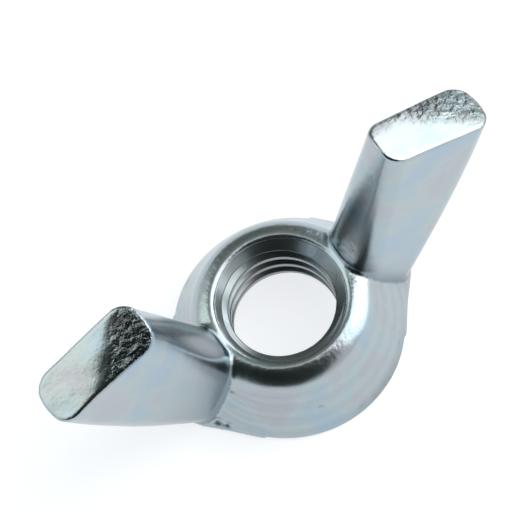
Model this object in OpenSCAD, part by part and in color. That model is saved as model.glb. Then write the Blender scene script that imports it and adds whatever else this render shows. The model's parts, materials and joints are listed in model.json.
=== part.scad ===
// Forged wing nut: a conical boss with a tapped hole and two thumb wings.
// The origin is the centre of the seating face and +Z runs up the thread axis.
// The wings spread along X and their broad sides face along Y.

/* [Thread] */
// Nominal diameter of the thread
thread_d = 8; // [7.6:0.1:8.2]
// Pitch of the thread
pitch = 1.25; // [1:0.05:1.25]
// Diameter of the countersinks at both mouths of the hole
countersink_d = 8.6; // [8.2:0.1:9.2]

/* [Boss] */
// Diameter of the seating face end of the boss
base_d = 15; // [14:0.1:15.6]
// Diameter of the top of the boss
rim_d = 10.6; // [10.2:0.1:11.4]
// Height of the boss
boss_h = 5.3; // [5:0.1:6.4]
// Height of the straight band round the foot of the boss
foot_band = 0.3; // [0.3:0.1:1]
// Radius of the rolled edge round the top of the boss
rim_round = 0.6; // [0.3:0.1:0.8]
// Width of the bevel round the seating face
foot_bevel = 0.15; // [0.1:0.05:0.25]

/* [Wings] */
// Height of the nut from its seating face to its wing tips
nut_h = 16.6; // [16:0.1:18]
// Distance from the thread axis to the inner ridge, where it leaves the boss
ridge_x = 4.6; // [4.5:0.1:5]
// Lean of the inner ridge away from the thread axis, in degrees
ridge_lean = 19; // [10:1:22]
// Distance from the thread axis to the outer edge, at the seating face
wing_foot_x = 8.5; // [8:0.1:9]
// Lean of the outer edge away from the thread axis, in degrees
edge_lean = 29; // [24:1:30]
// Height of the outward bow of the outer edge
edge_bow = 0.5; // [0.1:0.1:0.8]
// Fall of the flat end face towards the outside, in degrees
end_fall = 25; // [15:1:30]
// Thickness of a wing where it meets the seating plane
root_t = 4.8; // [4:0.1:5.4]
// Thickness of a wing at the height of its tip
tip_t = 3.2; // [2.6:0.1:3.7]
// Radius of the rounded long edges of a wing
edge_round = 0.75; // [0.5:0.05:0.95]
// Angle round the boss, from the wings, at which the flat root facets run out
facet_angle = 42; // [36:1:50]

/* [Hidden] */
$fn = 96;
// Nuts are tapped to about three quarters of the full thread depth
minor_r = (thread_d - 0.96 * pitch) / 2;
base_r = base_d / 2;
rim_r = rim_d / 2;
// A 45 degree countersink is as deep as it is wide
countersink_depth = countersink_d / 2 - minor_r;
overlap = 1;
arc_steps = 6;
edge_steps = 8;
// Side of a block that is larger than the nut
block = 2 * nut_h;

// Corners of a wing, seen from the front
ridge_tip_x = ridge_x + (nut_h - boss_h) * tan(ridge_lean);
edge_tip_z = (nut_h - (wing_foot_x - ridge_tip_x) * tan(end_fall))
    / (1 + tan(edge_lean) * tan(end_fall));
edge_tip_x = wing_foot_x + edge_tip_z * tan(edge_lean);

function ridge_at(z) = ridge_x + (z - boss_h) * tan(ridge_lean);

// The outer edge bows outwards, most at half its height
function edge_at(z) = wing_foot_x + z * tan(edge_lean)
    + edge_bow * (1 - pow(2 * z / edge_tip_z - 1, 2));

// Half the thickness of a wing at the height z
function half_t(z) = (root_t + (tip_t - root_t) * z / nut_h) / 2;

// Slope of the side of the boss, from its foot band to its rolled edge
side_run = base_r - rim_r;
side_rise = boss_h - foot_band;
side_angle = atan2(side_run, side_rise);
// Centre of the rolled edge, which is tangent to the top face and to the side
roll_z = boss_h - rim_round;
roll_r = base_r - (roll_z - foot_band) * tan(side_angle) - rim_round / cos(side_angle);

// The root facets lean a little more than the side of the boss
facet_tilt = atan2(base_r - 0.93 * rim_r, roll_z - foot_band);

boss_outline = concat(
    [[0, 0], [base_r - foot_bevel, 0], [base_r, foot_bevel], [base_r, foot_band]],
    [for (i = [0 : arc_steps])
        let (a = side_angle + (90 - side_angle) * i / arc_steps)
        [roll_r + rim_round * cos(a), roll_z + rim_round * sin(a)]],
    [[0, boss_h]]
);

module filled_boss() {
    rotate_extrude()
        polygon(boss_outline);
}

// The hole at the thread's minor diameter, countersunk at both ends
module tapped_hole() {
    translate([0, 0, -overlap])
        cylinder(r = minor_r, h = boss_h + 2 * overlap);
    countersink(0, 1);
    countersink(boss_h, -1);
}

// A cone that is widest at the face it opens on and narrows into the boss
module countersink(face_z, into) {
    translate([0, 0, face_z])
        facing(into)
            translate([0, 0, -overlap])
                cylinder(
                    r1 = minor_r + countersink_depth + overlap,
                    r2 = minor_r,
                    h = countersink_depth + overlap
                );
}

// Turns a cutter over when it enters from the top
module facing(into) {
    rotate([into > 0 ? 0 : 180, 0, 0])
        children();
}

// One rounded corner post of the wing: a ball on each broad side
module edge_ball_pair(x, z) {
    for (side = [-1, 1])
        translate([x, side * (half_t(z) - edge_round), z])
            sphere(r = edge_round, $fn = 32);
}

// The blade before its end face is cut and before it is fitted to the boss
module long_blade() {
    hull() {
        for (z = [-overlap, nut_h + overlap])
            edge_ball_pair(ridge_at(z) + edge_round, z);
        for (i = [0 : edge_steps]) {
            z = edge_tip_z * i / edge_steps;
            edge_ball_pair(edge_at(z) - edge_round, z);
        }
        edge_ball_pair(edge_at(-overlap) - edge_round, -overlap);
        edge_ball_pair(edge_tip_x - edge_round + 2 * overlap * tan(edge_lean), edge_tip_z + 2 * overlap);
    }
}

// Plan of the root facets: straight lines that touch the foot of the boss and
// meet in front of the wing
module facet_plan() {
    polygon([
        [0, 0],
        [base_r * cos(facet_angle), -base_r * sin(facet_angle)],
        [base_r / cos(facet_angle), 0],
        [base_r * cos(facet_angle), base_r * sin(facet_angle)],
    ]);
}

// Everything behind one root facet, which leans in over the foot band
module behind_facet(angle) {
    rotate([0, 0, angle])
        translate([base_r, 0, foot_band])
            rotate([0, -facet_tilt, 0])
                translate([-block, -block, -block])
                    cube([block, 2 * block, 2 * block]);
}

// The web that fills the corner between a wing and the side of the boss.
// Its facets dip under the rolled edge, so each ends in a point there.
module root_web() {
    intersection() {
        translate([0, 0, foot_bevel])
            linear_extrude(height = roll_z - foot_bevel)
                facet_plan();
        behind_facet(facet_angle);
        behind_facet(-facet_angle);
        translate([0, -base_r, 0])
            cube([wing_foot_x, base_d, boss_h]);
    }
}

// Everything above the bevel of the foot and below the sloping end face
module wing_limits() {
    rotate([90, 0, 0])
        linear_extrude(height = 2 * root_t, center = true)
            polygon([
                [0, foot_bevel],
                [2 * edge_tip_x, foot_bevel],
                [2 * edge_tip_x, nut_h - (2 * edge_tip_x - ridge_tip_x) * tan(end_fall)],
                [0, nut_h + ridge_tip_x * tan(end_fall)],
            ]);
}

module wing() {
    difference() {
        union() {
            intersection() {
                long_blade();
                wing_limits();
            }
            root_web();
        }
        filled_boss();
    }
}

module boss() {
    color([0.80, 0.84, 0.88])
        difference() {
            filled_boss();
            tapped_hole();
        }
}

module right_wing() {
    color([0.74, 0.79, 0.84])
        wing();
}

module left_wing() {
    color([0.74, 0.79, 0.84])
        rotate([0, 0, 180])
            wing();
}

boss();
left_wing();
right_wing();
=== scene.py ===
"""A forged, zinc-plated wing nut: one continuous skin over the boss and both wings, and its tapped thread.

Lengths named in this script are millimetres in the frame's own axes: +Z up the thread, X through the wings.
"""

import json
import math

import bpy
import numpy as np
from mathutils import Matrix, Vector


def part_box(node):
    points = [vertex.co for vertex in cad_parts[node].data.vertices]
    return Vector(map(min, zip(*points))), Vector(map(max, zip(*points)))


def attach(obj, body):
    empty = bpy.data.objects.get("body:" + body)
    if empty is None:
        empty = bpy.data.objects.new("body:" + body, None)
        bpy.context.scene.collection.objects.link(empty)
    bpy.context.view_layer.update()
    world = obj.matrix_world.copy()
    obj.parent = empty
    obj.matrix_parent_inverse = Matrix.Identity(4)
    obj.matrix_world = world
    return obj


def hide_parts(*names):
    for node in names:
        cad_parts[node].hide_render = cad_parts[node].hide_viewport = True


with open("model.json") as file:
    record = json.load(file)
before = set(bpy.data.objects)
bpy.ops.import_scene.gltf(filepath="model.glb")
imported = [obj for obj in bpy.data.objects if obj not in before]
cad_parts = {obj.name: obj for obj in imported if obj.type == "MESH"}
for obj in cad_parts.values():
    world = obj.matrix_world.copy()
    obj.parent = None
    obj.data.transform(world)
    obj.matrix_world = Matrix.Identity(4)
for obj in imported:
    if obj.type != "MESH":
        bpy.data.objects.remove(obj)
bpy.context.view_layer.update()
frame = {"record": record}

MM = 0.001

# ---------------------------------------------------------------- sizes from the frame
thread_mount = next(m for m in frame["record"]["mounts"] if m["name"] == "thread")
boss_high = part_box("boss")[1]
wing_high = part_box("right_wing")[1]

CREST_R = thread_mount["dims"]["r_mm"]
BOSS_H = boss_high.z / MM
BASE_R = boss_high.x / MM
REACH = wing_high.x / MM
TIP_H = wing_high.z / MM

# ---------------------------------------------------------------- the thread
PITCH = 1.25
# The root of an M8 thread is at the nominal radius
ROOT_R = 4.0
# The countersinks start a little outside the thread's root
SLEEVE_MOUTH_R = ROOT_R + 0.1
SLEEVE_WALL = 0.15
COUNTERSINK_R = 4.3
# The countersinking tool is no wider than this, so it clears the inner ridges of the wings
COUNTERSINK_TOOL_R = COUNTERSINK_R + 0.2

# ---------------------------------------------------------------- the forging
FOOT_BAND = 0.3
RIM_R = 0.7 * BASE_R
RIM_ROUND = 0.8
# The rolled rim falls away from the mouth of the hole
RIM_FALL = math.radians(11)
FOOT_ROUND = 0.3
FACET_ANGLE = math.radians(42)
# The facets lean in to this share of the rim's radius, and meet the cone in a soft fillet
FACET_DIP = 0.93
FACET_FILLET = 0.4
# They stop this far inside the wing's outer edge, and this far outside the foot of the boss
FACET_SETBACK = 0.3
FACET_REACH = 1.2
BAND_ROUND = 0.1
WING_FOOT_X = BASE_R + 1.0
RIDGE_X = CREST_R + 1.15
RIDGE_LEAN = math.radians(19)
EDGE_LEAN = math.radians(29)
EDGE_BOW = 0.5
END_FALL = math.radians(25)
ROOT_T = 4.75
TIP_T = 3.15
# Corner radius of the long edges, and the depth of their crown, as shares of half the thickness
EDGE_ROUND = 0.55
EDGE_CROWN = 0.22
# Where the end face starts, at the inner ridge
END_START = 8.4
ROOT_FILLET = 0.4
RIDGE_JOIN = 0.2
END_ROUND = 0.2
MOUTH_ROUND = 0.2
# The skin is worn this far down, and is uneven by about this much over this wavelength
WEAR = 0.03
UNEVENNESS = 0.025
UNEVEN_WAVE = 6.0
# The sheared faces are uneven too, more finely
SHEAR_UNEVENNESS = 0.015
SHEAR_WAVE = 1.6
# Distance between the points of the skin
SKIN_STEP = 0.14


def rounded_join(a, b, radius):
    """Two solids as one, with a fillet of about this radius where they meet."""
    near = np.maximum(radius - np.abs(a - b), 0) / radius
    return np.minimum(a, b) - near * near * radius / 4


def rounded_common(a, b, radius):
    """What two solids share, with the new edge rounded over."""
    return -rounded_join(-a, -b, radius)


def ripple(x, y, z, wavelength, seed, waves=7):
    """A smooth unevenness between about -1 and 1, made of waves in seeded directions."""
    rng = np.random.default_rng(seed)
    total = np.zeros_like(x)
    for _ in range(waves):
        direction = rng.normal(size=3)
        direction *= 2 * math.pi / (wavelength * rng.uniform(0.8, 1.6)) / np.linalg.norm(direction)
        total += np.sin(x * direction[0] + y * direction[1] + z * direction[2] + rng.uniform(0, 2 * math.pi))
    return np.tanh(total / waves ** 0.5)


def boss_field(x, y, z):
    """The boss without its hole: a cone on a short band, with flat facets that run out to the wings."""
    radius = np.hypot(x, y)
    lean = math.atan2(BASE_R - RIM_R, BOSS_H - FOOT_BAND)
    cone = (radius - BASE_R) * math.cos(lean) + (z - FOOT_BAND) * math.sin(lean)
    cone = rounded_common(cone, radius - BASE_R, BAND_ROUND)
    facet_lean = math.atan2(BASE_R - FACET_DIP * RIM_R, BOSS_H - FOOT_BAND)
    across = np.abs(x) * math.cos(FACET_ANGLE) + np.abs(y) * math.sin(FACET_ANGLE)
    facet = (across - BASE_R) * math.cos(facet_lean) + (z - FOOT_BAND) * math.sin(facet_lean)
    facet = rounded_common(facet, across - BASE_R, BAND_ROUND)
    beside_wing = np.abs(y) * math.cos(FACET_ANGLE) - np.abs(x) * math.sin(FACET_ANGLE)
    web = np.maximum(np.maximum(facet, beside_wing), outer_edge(x, z) + FACET_SETBACK)
    side = rounded_join(cone, web, FACET_FILLET)
    side = np.maximum(side, radius - BASE_R - FACET_REACH)
    crown = (z - BOSS_H) * math.cos(RIM_FALL) + (radius - COUNTERSINK_R) * math.sin(RIM_FALL)
    return rounded_common(side, crown, RIM_ROUND)


def outer_edge(x, z):
    """Distance outside the wing's outer edge, which leans out and bows a little."""
    edge_top = TIP_H - (REACH - END_START) * math.tan(END_FALL)
    bow = EDGE_BOW * (1 - (2 * z / edge_top - 1) ** 2)
    return (np.abs(x) - WING_FOOT_X - bow) * math.cos(EDGE_LEAN) - z * math.sin(EDGE_LEAN)


def inner_ridge(x, z):
    """Distance outside the wing's inner ridge."""
    return (RIDGE_X - np.abs(x)) * math.cos(RIDGE_LEAN) + (z - BOSS_H) * math.sin(RIDGE_LEAN)


def soft_ramp(distance, width=0.5):
    """Rises one for one once the distance is positive, with a soft start."""
    return (distance + np.hypot(distance, width)) / 2


def end_face(x, y, z):
    """Distance above the sheared end face, which slopes outwards and is not quite flat.

    The shear drew the left wing's face down along its -Y edge, most at the ridge. On the right wing
    the face falls away along its +Y edge and at its outer end.
    """
    flat = (z - TIP_H) * math.cos(END_FALL) + (np.abs(x) - END_START) * math.sin(END_FALL)
    along = np.clip((np.abs(x) - END_START) / (REACH - END_START), 0, 1.1)
    left_draw = 0.20 * soft_ramp(2.7 - 7.0 * along - y)
    right_draw = 0.16 * soft_ramp(y - 0.7) + 0.08 * soft_ramp(7.5 * along - 5.5)
    uneven = SHEAR_UNEVENNESS * ripple(x, y, z, SHEAR_WAVE, seed=11)
    return flat + np.where(x < 0, left_draw, right_draw) + uneven


def wing_field(x, y, z):
    """Both wings: tapering blades with rounded long edges, cut off at the end."""
    across = rounded_common(inner_ridge(x, z), outer_edge(x, z), RIDGE_JOIN)
    half_t = np.clip((ROOT_T + (TIP_T - ROOT_T) * z / TIP_H) / 2, 0.5, 3)
    corner = EDGE_ROUND * half_t
    past_edge = across + EDGE_CROWN * y * y / half_t + corner
    past_side = np.abs(y) - half_t + corner
    outside = np.hypot(np.maximum(past_edge, 0), np.maximum(past_side, 0))
    blade = outside + np.minimum(np.maximum(past_edge, past_side), 0) - corner
    return rounded_common(blade, end_face(x, y, z), END_ROUND)


def hole_field(x, y, z):
    """The hole that the thread sits in, with a countersink at both ends (positive inside the hole)."""
    radius = np.hypot(x, y)
    top = np.minimum((COUNTERSINK_R - radius + z - BOSS_H) / math.sqrt(2), COUNTERSINK_TOOL_R - radius)
    bottom = np.minimum((COUNTERSINK_R - radius - z) / math.sqrt(2), COUNTERSINK_TOOL_R - radius)
    return np.maximum(np.maximum(top, bottom), SLEEVE_MOUTH_R - radius)


# Handling dents: centre, radius and depth
DENTS = (
    ((-7.3, -2.6, 0.9), 0.40, 0.18),
    ((-6.9, -3.1, 0.7), 0.30, 0.14),
    ((-5.7, -2.4, 3.6), 0.25, 0.08),
    ((-1.8, -6.2, 2.5), 0.25, 0.08),
    ((0.4, -7.2, 0.8), 0.45, 0.10),
    ((1.4, -7.2, 0.5), 0.35, 0.10),
    ((2.3, -7.0, 0.6), 0.45, 0.09),
    ((4.9, -5.4, 0.6), 0.35, 0.10),
    ((12.6, 2.0, 9.0), 0.50, 0.06),
    ((-3.6, 6.1, 1.4), 0.45, 0.08),
)


def dents(x, y, z):
    """How deep the dents reach at each point."""
    depth = np.zeros_like(x)
    for centre, radius, deepest in DENTS:
        away = (x - centre[0]) ** 2 + (y - centre[1]) ** 2 + (z - centre[2]) ** 2
        depth += deepest * np.exp(-2 * away / radius ** 2)
    return depth


def nut_field(points):
    """Signed distance, about, from the surface of the forging: negative in the metal."""
    x, y, z = points[..., 0], points[..., 1], points[..., 2]
    body = rounded_join(boss_field(x, y, z), wing_field(x, y, z), ROOT_FILLET)
    body = body + WEAR + UNEVENNESS * ripple(x, y, z, UNEVEN_WAVE, seed=3) + dents(x, y, z)
    body = rounded_common(body, -z, FOOT_ROUND)
    return rounded_common(body, hole_field(x, y, z), MOUTH_ROUND)


def slope(field, points, step=0.01):
    """The field's value and gradient at each point."""
    value = field(points)
    gradient = np.stack([field(points + step * axis) - value for axis in np.eye(3)], axis=-1) / step
    return value, gradient


def settle(field, points, rounds=4, farthest=0.08):
    """Moves points that are near a surface onto it."""
    for _ in range(rounds):
        value, gradient = slope(field, points)
        length = np.linalg.norm(gradient, axis=-1, keepdims=True) + 1e-9
        shift = -(value[:, None] / length) * (gradient / length)
        size = np.linalg.norm(shift, axis=-1, keepdims=True) + 1e-12
        points = points + shift * np.minimum(1, farthest / size)
    return points


def skin(field, low, high, step):
    """A closed mesh of four-sided faces over a field's surface.

    Each cell of the grid that the surface crosses gives one point.
    """
    axes = [np.arange(lo, hi + step, step) for lo, hi in zip(low, high)]
    value = np.empty([len(a) for a in axes], dtype=np.float32)
    for i, x in enumerate(axes[0]):
        plane = np.stack(np.meshgrid([x], axes[1], axes[2], indexing="ij"), axis=-1)[0]
        value[i] = field(plane)
    inside = value < 0

    # A cell is crossed when its eight corners are not all on one side
    last_x, last_y, last_z = (count - 1 for count in inside.shape)
    corner_count = sum(
        inside[i:last_x + i, j:last_y + j, k:last_z + k].astype(np.int8)
        for i in (0, 1) for j in (0, 1) for k in (0, 1))
    crossed = (corner_count > 0) & (corner_count < 8)
    number = np.full(crossed.shape, -1, dtype=np.int64)
    number[crossed] = np.arange(crossed.sum())
    cells = np.argwhere(crossed)

    # Its point is the mean of where the surface crosses its twelve edges
    points = np.zeros((len(cells), 3))
    hits = np.zeros(len(cells))
    for axis in range(3):
        step_on = np.eye(3, dtype=int)[axis]
        sides = [a for a in range(3) if a != axis]
        for u in (0, 1):
            for v in (0, 1):
                start = cells.copy()
                start[:, sides[0]] += u
                start[:, sides[1]] += v
                a = value[tuple(start.T)].astype(float)
                b = value[tuple((start + step_on).T)].astype(float)
                cross = (a < 0) != (b < 0)
                share = np.where(cross, a / np.where(cross, a - b, 1), 0)
                points += cross[:, None] * (start + share[:, None] * step_on)
                hits += cross
    points = points / hits[:, None] * step + np.array([a[0] for a in axes])

    # Each grid edge that the surface crosses gives a face through the four cells round it
    faces = []
    for axis in range(3):
        u, v = [a for a in range(3) if a != axis]
        before = np.take(inside, range(inside.shape[axis] - 1), axis)
        after = np.take(inside, range(1, inside.shape[axis]), axis)
        for leaves, turned in ((before & ~after, axis == 1), (~before & after, axis != 1)):
            start = np.argwhere(leaves)
            start = start[(start[:, u] > 0) & (start[:, v] > 0)]
            around = []
            for back_u, back_v in ((1, 1), (0, 1), (0, 0), (1, 0)):
                cell = start.copy()
                cell[:, u] -= back_u
                cell[:, v] -= back_v
                around.append(number[tuple(cell.T)])
            loop = np.stack(around, axis=-1)
            faces.append(loop[:, ::-1] if turned else loop)
    return points, np.concatenate(faces)


def mesh_object(name, points, faces, material):
    """A smooth-shaded mesh object in the frame, from points in millimetres."""
    mesh = bpy.data.meshes.new(name)
    mesh.vertices.add(len(points))
    mesh.vertices.foreach_set("co", (points * MM).ravel().astype(np.float32))
    size = faces.shape[1]
    mesh.loops.add(faces.size)
    mesh.loops.foreach_set("vertex_index", faces.ravel().astype(np.int32))
    mesh.polygons.add(len(faces))
    mesh.polygons.foreach_set("loop_start", np.arange(0, faces.size, size, dtype=np.int32))
    mesh.update(calc_edges=True)
    mesh.validate()
    mesh.polygons.foreach_set("use_smooth", np.ones(len(mesh.polygons), dtype=bool))
    mesh.materials.append(material)
    obj = bpy.data.objects.new(name, mesh)
    bpy.context.scene.collection.objects.link(obj)
    return obj


def add(tree, kind, inputs=None, **settings):
    """Adds a node with its settings, and links or sets its inputs, which are named or numbered."""
    node = tree.nodes.new(kind)
    for name, value in settings.items():
        setattr(node, name, value)
    for key, value in (inputs or {}).items():
        if isinstance(value, bpy.types.Node):
            tree.links.new(value.outputs[0], node.inputs[key])
        elif isinstance(value, bpy.types.NodeSocket):
            tree.links.new(value, node.inputs[key])
        else:
            node.inputs[key].default_value = value
    return node


def colour(hex_code):
    """An sRGB hex colour as the linear values that a shader takes."""
    values = [int(hex_code[i:i + 2], 16) / 255 for i in (1, 3, 5)]
    return [v / 12.92 if v <= 0.04045 else ((v + 0.055) / 1.055) ** 2.4 for v in values] + [1.0]


# ---------------------------------------------------------------- materials

def stored(tree, name):
    """A value that the mesh stores for each of its points."""
    return add(tree, "ShaderNodeAttribute", attribute_name=name).outputs["Fac"]


def film_tints(tree, film, tints):
    """The passivation film's faint change of colour over a few millimetres."""
    film_colour = add(tree, "ShaderNodeValToRGB", {"Fac": film})
    ramp = film_colour.color_ramp
    ramp.elements.new(0.5)
    for element, position, tint in zip(ramp.elements, (0.36, 0.5, 0.64), tints):
        element.position = position
        element.color = colour(tint)
    return film_colour.outputs["Color"]


def plate_colour(tree, place, tinted, rings):
    """The tinted plate with its dull specks, its soiled torn faces, painted shade in its creases and its
    turning marks.
    """
    torn = stored(tree, "torn")
    # Specks of dull plate a quarter of a millimetre across, thick on the torn faces and few elsewhere
    speck = add(tree, "ShaderNodeTexNoise",
                {"Vector": place, "Scale": 1 / (0.5 * MM), "Detail": 4.0, "Roughness": 0.65})
    reach = add(tree, "ShaderNodeMath", {0: torn, 1: -0.19, 2: 0.68}, operation="MULTIPLY_ADD")
    above = add(tree, "ShaderNodeMath", {0: speck, 1: reach}, operation="SUBTRACT")
    dull = add(tree, "ShaderNodeMath", {0: above, 1: 9.0}, operation="MULTIPLY", use_clamp=True)
    soiled = add(tree, "ShaderNodeMath", {0: torn, 1: 0.85}, operation="MULTIPLY")
    ring_tone = add(tree, "ShaderNodeMath", {0: rings, 1: stored(tree, "turned")}, operation="MULTIPLY")
    ring_share = add(tree, "ShaderNodeMath", {0: ring_tone, 1: 0.13}, operation="MULTIPLY")
    toned = tinted
    # The crease tone is painted shade in the corners between the boss and the wings
    for share, tone in ((dull, "#727C7E"), (soiled, "#5F6869"),
                        (stored(tree, "painted_crease_shade"), "#74838D"), (ring_share, "#7F8B8E")):
        toned = add(tree, "ShaderNodeMix", {"Factor": share, 6: toned, 7: colour(tone)},
                    data_type="RGBA").outputs[2]
    return toned


def plate_relief(tree, place, rings):
    """The satin grain of the plate, the lay of the forging die, the torn metal and the turning marks."""
    torn = stored(tree, "torn")
    grain = add(tree, "ShaderNodeTexNoise", {"Vector": place, "Scale": 1 / (0.14 * MM), "Detail": 2.0})
    lay = add(tree, "ShaderNodeTexNoise", {"Vector": place, "Scale": 1 / (0.9 * MM), "Detail": 3.0})
    tears = add(tree, "ShaderNodeTexNoise", {"Vector": place, "Scale": 1 / (0.45 * MM), "Detail": 3.0})
    harshness = add(tree, "ShaderNodeMath", {0: torn, 1: 0.6, 2: 0.16}, operation="MULTIPLY_ADD")
    tear_depth = add(tree, "ShaderNodeMath", {0: torn, 1: 0.9}, operation="MULTIPLY")
    ring_depth = add(tree, "ShaderNodeMath", {0: stored(tree, "turned"), 1: 0.25}, operation="MULTIPLY")
    relief = None
    for height, strength, depth_mm in ((grain, harshness, 0.02), (lay, 0.3, 0.05),
                                       (tears, tear_depth, 0.22), (rings, ring_depth, 0.012)):
        inputs = {"Height": height, "Strength": strength, "Distance": depth_mm * MM}
        if relief:
            inputs["Normal"] = relief
        relief = add(tree, "ShaderNodeBump", inputs)
    return relief


def zinc_plate(name, tints, rough_low, rough_high):
    """Bright zinc plate with a clear blue passivation over forged steel.

    Electroplating leaves a fine satin crystal surface, and the passivation film tints it a faint blue,
    green and pink. Duller plate and grime sit on the torn end faces, and painted shade darkens the creases.
    """
    material = bpy.data.materials.new(name)
    material.use_nodes = True
    tree = material.node_tree
    tree.nodes.clear()
    place = add(tree, "ShaderNodeTexCoord").outputs["Object"]
    film = add(tree, "ShaderNodeTexNoise", {"Vector": place, "Scale": 1 / (3.0 * MM), "Detail": 3.0})
    # Turning marks of the die, half a millimetre apart, ring the boss
    rings = add(tree, "ShaderNodeTexWave",
                {"Vector": place, "Scale": 0.31 / (0.5 * MM), "Distortion": 4.0, "Detail Scale": 0.6 / MM},
                wave_type="RINGS", rings_direction="Z")
    rough = add(tree, "ShaderNodeMapRange",
                {"Value": film, "From Min": 0.2, "From Max": 0.8, "To Min": rough_low, "To Max": rough_high})
    shader = add(tree, "ShaderNodeBsdfPrincipled", {
        "Base Color": plate_colour(tree, place, film_tints(tree, film, tints), rings),
        "Metallic": 1.0,
        "Roughness": rough.outputs["Result"],
        "Normal": plate_relief(tree, place, rings),
    })
    add(tree, "ShaderNodeOutputMaterial", {"Surface": shader})
    return material


def forged_plate():
    """The plate on the forged outside, where the film is lightest."""
    return zinc_plate("zinc plated forged steel", ("#A1B3BF", "#ABB7BA", "#ADB1B7"), 0.20, 0.28)


def tapped_plate():
    """The plate in the tapped hole, which plates thinner and comes out darker and rougher."""
    return zinc_plate("zinc plated tapped steel", ("#87939A", "#929B9D", "#949699"), 0.24, 0.34)


# ---------------------------------------------------------------- the forging's skin

def mark(obj, name, values):
    """Stores a number between 0 and 1 for each point of a mesh, for its material to read."""
    layer = obj.data.attributes.new(name, "FLOAT", "POINT")
    layer.data.foreach_set("value", np.clip(values, 0, 1).astype(np.float32))


def off_seat(z):
    """0 on the flat seating face and 1 just above it, so that marks meant for the sides stay off it."""
    return np.clip((z - 0.02) / 0.15, 0, 1)


def mark_painted_crease_shade(body, points):
    """Painted shade in the corners between the boss and the wings, spread widest beside the left wing's
    front.
    """
    x, y, z = points.T
    off_boss = boss_field(x, y, z)
    off_wing = wing_field(x, y, z)
    # Painted shade reaches further beside the left wing's front, standing in for the nut's shadow on the
    # floor that the wing reflects
    spread = np.where((x < 0) & (y < 0), 2.6, 0.6)
    near = np.exp(-np.maximum(off_boss, off_wing) / spread)
    mark(body, "painted_crease_shade", 0.9 * near * (off_wing < off_boss + 0.1) * off_seat(z))


def mark_tears(body, points):
    """Torn metal on the end faces, with a little scuffing round the rim and the front of the foot.

    The shear burnishes the first part of each end face and tears the rest.
    """
    x, y, z = points.T
    along_end = (np.abs(x) - END_START) / (REACH - END_START)
    tear = np.where(x < 0, 0.8 * (2.5 - y - 7.0 * along_end), 3.0 * along_end - 1.2 + 0.6 * y)
    on_end = np.where(z > 8, 1 - np.abs(end_face(x, y, z)) / 0.25, 0)
    on_rim = (1 - np.abs(np.hypot(x, y) - 4.8) / 0.7) * (z > 4.6)
    in_front = np.exp(-((np.arctan2(x, -y) - 0.35) / 0.45) ** 2)
    scuffed = in_front * (1 - z / 1.3) * (wing_field(x, y, z) > 0.3)
    end_tear = on_end * np.clip(tear, 0.06, 1)
    mark(body, "torn", np.maximum.reduce([end_tear, 0.16 * on_rim, 0.6 * scuffed * off_seat(z)]))


def mark_turning(body, points):
    """The die's turning marks show on the cone and stop short of the rolled rim."""
    x, y, z = points.T
    on_cone = np.minimum(1 - boss_field(x, y, z) / 0.2, (BOSS_H - 0.9 - z) / 0.6)
    mark(body, "turned", on_cone * off_seat(z))


def forged_body():
    """The boss and both wings in one skin."""
    margin = 0.6
    low = (-REACH - margin, -BASE_R - margin, -margin)
    high = (REACH + margin, BASE_R + margin, TIP_H + margin)
    points, faces = skin(nut_field, low, high, SKIN_STEP)
    points = settle(nut_field, points)
    body = mesh_object("forged_body", points, faces, forged_plate())
    assert len(body.data.vertices) == len(points)
    mark_painted_crease_shade(body, points)
    mark_tears(body, points)
    mark_turning(body, points)
    return body


# ---------------------------------------------------------------- the tapped thread
MATHS = "ShaderNodeMath"


def thread_inputs(tree):
    """Gives the thread's tree its named inputs and its output."""
    lengths = ("Pitch", "Crest Radius", "Root Radius", "Mouth Radius", "Wall", "Low Mouth", "High Mouth")
    tree.interface.new_socket("Start", in_out="INPUT", socket_type="NodeSocketFloat").subtype = "ANGLE"
    for name in lengths:
        tree.interface.new_socket(name, in_out="INPUT", socket_type="NodeSocketFloat").subtype = "DISTANCE"
    for name in ("Turns", "Segments", "Rows per Turn"):
        tree.interface.new_socket(name, in_out="INPUT", socket_type="NodeSocketInt")
    tree.interface.new_socket("Material", in_out="INPUT", socket_type="NodeSocketMaterial")
    tree.interface.new_socket("Geometry", in_out="OUTPUT", socket_type="NodeSocketGeometry")
    return add(tree, "NodeGroupInput").outputs


def bent_round(tree, given, rows, angle, radius, height):
    """A square grid of this many rows, bent round the thread axis."""
    columns = add(tree, MATHS, {0: given["Segments"], 1: 1.0}, operation="ADD")
    out = add(tree, MATHS, {0: angle}, operation="COSINE")
    across = add(tree, MATHS, {0: angle}, operation="SINE")
    place = add(tree, "ShaderNodeCombineXYZ", {
        "X": add(tree, MATHS, {0: radius, 1: out}, operation="MULTIPLY"),
        "Y": add(tree, MATHS, {0: radius, 1: across}, operation="MULTIPLY"),
        "Z": height,
    })
    grid = add(tree, "GeometryNodeMeshGrid",
               {"Size X": 1.0, "Size Y": 1.0, "Vertices X": columns, "Vertices Y": rows})
    return add(tree, "GeometryNodeSetPosition", {"Geometry": grid, "Position": place})


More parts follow.
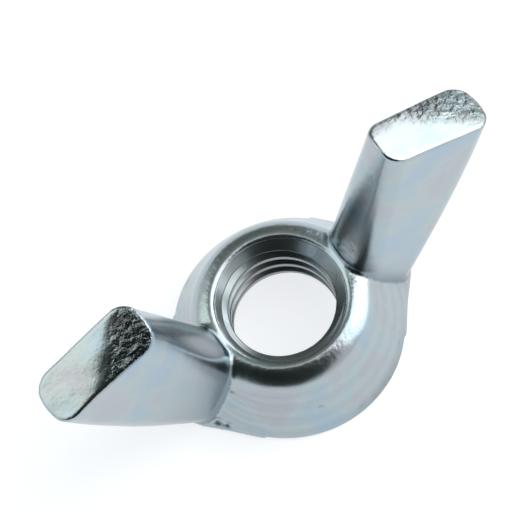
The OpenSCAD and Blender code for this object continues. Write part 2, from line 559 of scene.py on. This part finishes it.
def thread_sheet(tree, given, around, along, angle):
    """The thread: each row climbs one pitch in a turn, so a row keeps its place on the profile."""
    turns_up = add(tree, MATHS, {0: along, 1: given["Turns"]}, operation="MULTIPLY")
    past_start = add(tree, MATHS, {0: turns_up, 1: 1.0}, operation="SUBTRACT")
    turned = add(tree, MATHS, {0: past_start, 1: around}, operation="ADD")
    climb = add(tree, MATHS, {0: turned, 1: given["Pitch"], 2: given["Low Mouth"]},
                operation="MULTIPLY_ADD")
    height = add(tree, "ShaderNodeClamp",
                 {"Value": climb, "Min": given["Low Mouth"], "Max": given["High Mouth"]})
    # Distance from the middle of the groove, in pitches, and past the flat at its root
    profile = add(tree, MATHS, {0: turns_up}, operation="FRACT")
    from_middle = add(tree, MATHS, {0: profile, 1: 0.5}, operation="SUBTRACT")
    from_groove = add(tree, MATHS, {0: from_middle}, operation="ABSOLUTE")
    past_root = add(tree, MATHS, {0: from_groove, 1: 1 / 16}, operation="SUBTRACT")
    off_root = add(tree, MATHS, {0: past_root, 1: given["Pitch"]}, operation="MULTIPLY")
    # The flanks stand 30 degrees off square
    flank = add(tree, MATHS, {0: off_root, 1: -1 / math.tan(math.radians(30)), 2: given["Root Radius"]},
                operation="MULTIPLY_ADD")
    thread_r = add(tree, "ShaderNodeClamp",
                   {"Value": flank, "Min": given["Crest Radius"], "Max": given["Root Radius"]})
    # Lead-in cones at both mouths
    off_low = add(tree, MATHS, {0: height, 1: given["Low Mouth"]}, operation="SUBTRACT")
    off_high = add(tree, MATHS, {0: given["High Mouth"], 1: height}, operation="SUBTRACT")
    from_mouth = add(tree, MATHS, {0: off_low, 1: off_high}, operation="MINIMUM")
    lead_in = add(tree, MATHS, {0: given["Mouth Radius"], 1: from_mouth}, operation="SUBTRACT")
    radius = add(tree, MATHS, {0: thread_r, 1: lead_in}, operation="MAXIMUM")
    rows = add(tree, MATHS, {0: given["Turns"], 1: given["Rows per Turn"], 2: 1.0},
               operation="MULTIPLY_ADD")
    return bent_round(tree, given, rows, angle, radius, height)


def sleeve_wall(tree, given, along, angle):
    """The wall behind the thread, which closes it into a sleeve that is buried in the boss."""
    outside = add(tree, MATHS, {0: along, 1: 0.5, 2: 0.3}, operation="COMPARE")
    radius = add(tree, MATHS, {0: outside, 1: given["Wall"], 2: given["Mouth Radius"]},
                 operation="MULTIPLY_ADD")
    upper = add(tree, MATHS, {0: along, 1: 0.5}, operation="LESS_THAN")
    span = add(tree, MATHS, {0: given["High Mouth"], 1: given["Low Mouth"]}, operation="SUBTRACT")
    height = add(tree, MATHS, {0: upper, 1: span, 2: given["Low Mouth"]}, operation="MULTIPLY_ADD")
    return bent_round(tree, given, 4, angle, radius, height)


def thread_tree():
    """A tree that taps a hole: a sheet whose rows follow the helix, and a wall behind it."""
    tree = bpy.data.node_groups.new("Tapped thread", "GeometryNodeTree")
    given = thread_inputs(tree)
    where = add(tree, "ShaderNodeSeparateXYZ", {0: add(tree, "GeometryNodeInputPosition")}).outputs
    around = add(tree, MATHS, {0: where["X"], 1: 0.5}, operation="ADD")
    along = add(tree, MATHS, {0: where["Y"], 1: 0.5}, operation="ADD")
    angle = add(tree, MATHS, {0: around, 1: 2 * math.pi, 2: given["Start"]}, operation="MULTIPLY_ADD")
    whole = add(tree, "GeometryNodeJoinGeometry")
    for part in (thread_sheet(tree, given, around, along, angle), sleeve_wall(tree, given, along, angle)):
        tree.links.new(part.outputs[0], whole.inputs[0])
    sealed = add(tree, "GeometryNodeMergeByDistance", {"Geometry": whole, "Distance": 0.002 * MM})
    # The grids face the metal, so the sleeve is turned to face outwards
    outward = add(tree, "GeometryNodeFlipFaces", {"Mesh": sealed})
    smooth = add(tree, "GeometryNodeSetShadeSmooth", {"Geometry": outward})
    real = add(tree, "GeometryNodeRealizeInstances", {"Geometry": smooth})
    finished = add(tree, "GeometryNodeSetMaterial", {"Geometry": real, "Material": given["Material"]})
    add(tree, "NodeGroupOutput", {"Geometry": finished})
    return tree


def grown(name, tree, values):
    """The plain mesh object that a Geometry Nodes tree gives for these values of its named inputs."""
    seed = bpy.data.objects.new(name + "_seed", bpy.data.meshes.new(name + "_seed"))
    bpy.context.scene.collection.objects.link(seed)
    modifier = seed.modifiers.new("grow", "NODES")
    modifier.node_group = tree
    for item in tree.interface.items_tree:
        if item.in_out == "INPUT":
            modifier[item.identifier] = values[item.name]
    evaluated = seed.evaluated_get(bpy.context.evaluated_depsgraph_get())
    mesh = bpy.data.meshes.new_from_object(evaluated)
    bpy.data.objects.remove(seed)
    mesh.name = name
    obj = bpy.data.objects.new(name, mesh)
    bpy.context.scene.collection.objects.link(obj)
    return obj


def tapped_thread():
    """The thread between the two countersinks."""
    mouth_depth = COUNTERSINK_R - SLEEVE_MOUTH_R
    low_mouth = mouth_depth
    high_mouth = BOSS_H - mouth_depth
    return grown("tapped_thread", thread_tree(), {
        "Pitch": PITCH * MM,
        "Crest Radius": CREST_R * MM,
        "Root Radius": ROOT_R * MM,
        "Mouth Radius": SLEEVE_MOUTH_R * MM,
        "Wall": SLEEVE_WALL * MM,
        "Start": math.radians(180),
        "Low Mouth": low_mouth * MM,
        "High Mouth": high_mouth * MM,
        "Turns": math.ceil((high_mouth - low_mouth) / PITCH) + 1,
        "Segments": 128,
        "Rows per Turn": 32,
        "Material": tapped_plate(),
    })


# ---------------------------------------------------------------- floor, light and camera

def light_table():
    """A white acrylic table top, lit softly from below as well as from the room."""
    material = bpy.data.materials.new("white light table")
    material.use_nodes = True
    shader = material.node_tree.nodes["Principled BSDF"]
    shader.inputs["Base Color"].default_value = colour("#929495")
    shader.inputs["Roughness"].default_value = 0.8
    shader.inputs["Emission Color"].default_value = colour("#FAFCFF")
    shader.inputs["Emission Strength"].default_value = 0.8
    return material


def pale_floor(half=0.6):
    """A square table top under the nut."""
    mesh = bpy.data.meshes.new("floor")
    corners = [(-half, -half, 0), (half, -half, 0), (half, half, 0), (-half, half, 0)]
    mesh.from_pydata(corners, [], [(0, 1, 2, 3)])
    mesh.materials.append(light_table())
    floor = bpy.data.objects.new("floor", mesh)
    bpy.context.scene.collection.objects.link(floor)
    return floor


def direction(azimuth, elevation):
    """The unit vector that points out at this azimuth, from -Y towards +X, and elevation, in degrees."""
    a, e = math.radians(azimuth), math.radians(elevation)
    return Vector((math.sin(a) * math.cos(e), -math.cos(a) * math.cos(e), math.sin(e)))


def soft_light(name, azimuth, elevation, distance, size, power):
    """A square soft box that faces the nut."""
    light = bpy.data.lights.new(name, "AREA")
    light.shape = "SQUARE"
    light.size = size
    light.energy = power
    lamp = bpy.data.objects.new(name, light)
    aim = direction(azimuth, elevation)
    lamp.location = aim * distance
    lamp.rotation_mode = "QUATERNION"
    lamp.rotation_quaternion = aim.to_track_quat("Z", "Y")
    bpy.context.scene.collection.objects.link(lamp)


def studio(tent_colour, panels):
    """A pale tent with round soft-edged panels.

    Each panel is its azimuth, elevation, inner and outer radius, all in degrees, its colour and strength.
    """
    world = bpy.data.worlds.new("studio")
    world.use_nodes = True
    tree = world.node_tree
    tree.nodes.clear()
    way = add(tree, "ShaderNodeTexCoord").outputs["Generated"]
    unit = add(tree, "ShaderNodeVectorMath", {0: way}, operation="NORMALIZE").outputs["Vector"]
    tent = add(tree, "ShaderNodeRGB")
    tent.outputs[0].default_value = colour(tent_colour)
    light = tent.outputs[0]
    for azimuth, elevation, inner, outer, hex_code, strength in panels:
        towards = add(tree, "ShaderNodeVectorMath", {0: unit, 1: direction(azimuth, elevation)},
                      operation="DOT_PRODUCT")
        shade = add(tree, "ShaderNodeMapRange", {
            "Value": towards.outputs["Value"],
            "From Min": math.cos(math.radians(outer)),
            "From Max": math.cos(math.radians(inner)),
        }, interpolation_type="SMOOTHSTEP")
        panel = [strength * value for value in colour(hex_code)[:3]] + [1.0]
        light = add(tree, "ShaderNodeMix", {"Factor": shade.outputs["Result"], 6: light, 7: panel},
                    data_type="RGBA").outputs[2]
    back = add(tree, "ShaderNodeBackground", {"Color": light, "Strength": 1.0})
    add(tree, "ShaderNodeOutputWorld", {"Surface": back})
    bpy.context.scene.world = world


# The camera looks down on the nut from in front, a little to the left, and is turned on its axis
VIEW_AZIMUTH = -18.75
VIEW_ELEVATION = 67.8
VIEW_ROLL = -18.1
VIEW_DISTANCE = 150
VIEW_AIM = (1.02, 3.99, 1.68)
VIEW_LENS = 160.6


def view_camera():
    """The camera, aimed by its azimuth, elevation and roll."""
    data = bpy.data.cameras.new("camera")
    data.lens = VIEW_LENS
    data.sensor_width = 36
    data.clip_start = 0.01
    data.clip_end = 10
    camera = bpy.data.objects.new("camera", data)
    bpy.context.scene.collection.objects.link(camera)
    turned = (Matrix.Rotation(math.radians(VIEW_AZIMUTH), 3, "Z")
              @ Matrix.Rotation(math.radians(90 - VIEW_ELEVATION), 3, "X")
              @ Matrix.Rotation(math.radians(VIEW_ROLL), 3, "Z"))
    stand = Vector(VIEW_AIM) * MM + direction(VIEW_AZIMUTH, VIEW_ELEVATION) * VIEW_DISTANCE * MM
    camera.matrix_world = Matrix.Translation(stand) @ turned.to_4x4()
    bpy.context.scene.camera = camera


# ---------------------------------------------------------------- the pieces in the frame
body = forged_body()
thread = tapped_thread()
for piece in (body, thread):
    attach(piece, "root")
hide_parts("boss", "left_wing", "right_wing")

pale_floor()
# The key light stands to the right, low enough to catch the end faces and the rolled rim
soft_light("key", 80, 35, 0.32, 0.18, 0.30)
soft_light("fill", -130, 45, 0.45, 0.25, 0.06)
studio("#E8ECEE", (
    (95, 30, 42, 56, "#FFFFFF", 2.5),
    (-120, 42, 22, 38, "#F4F6EE", 1.5),
    (158, 45, 22, 36, "#8F958F", 1.0),
    (160, 8, 24, 38, "#747A74", 1.0),
    (-40, 44, 40, 52, "#222825", 1.0),
))
bpy.context.scene.view_settings.view_transform = "Standard"
view_camera()
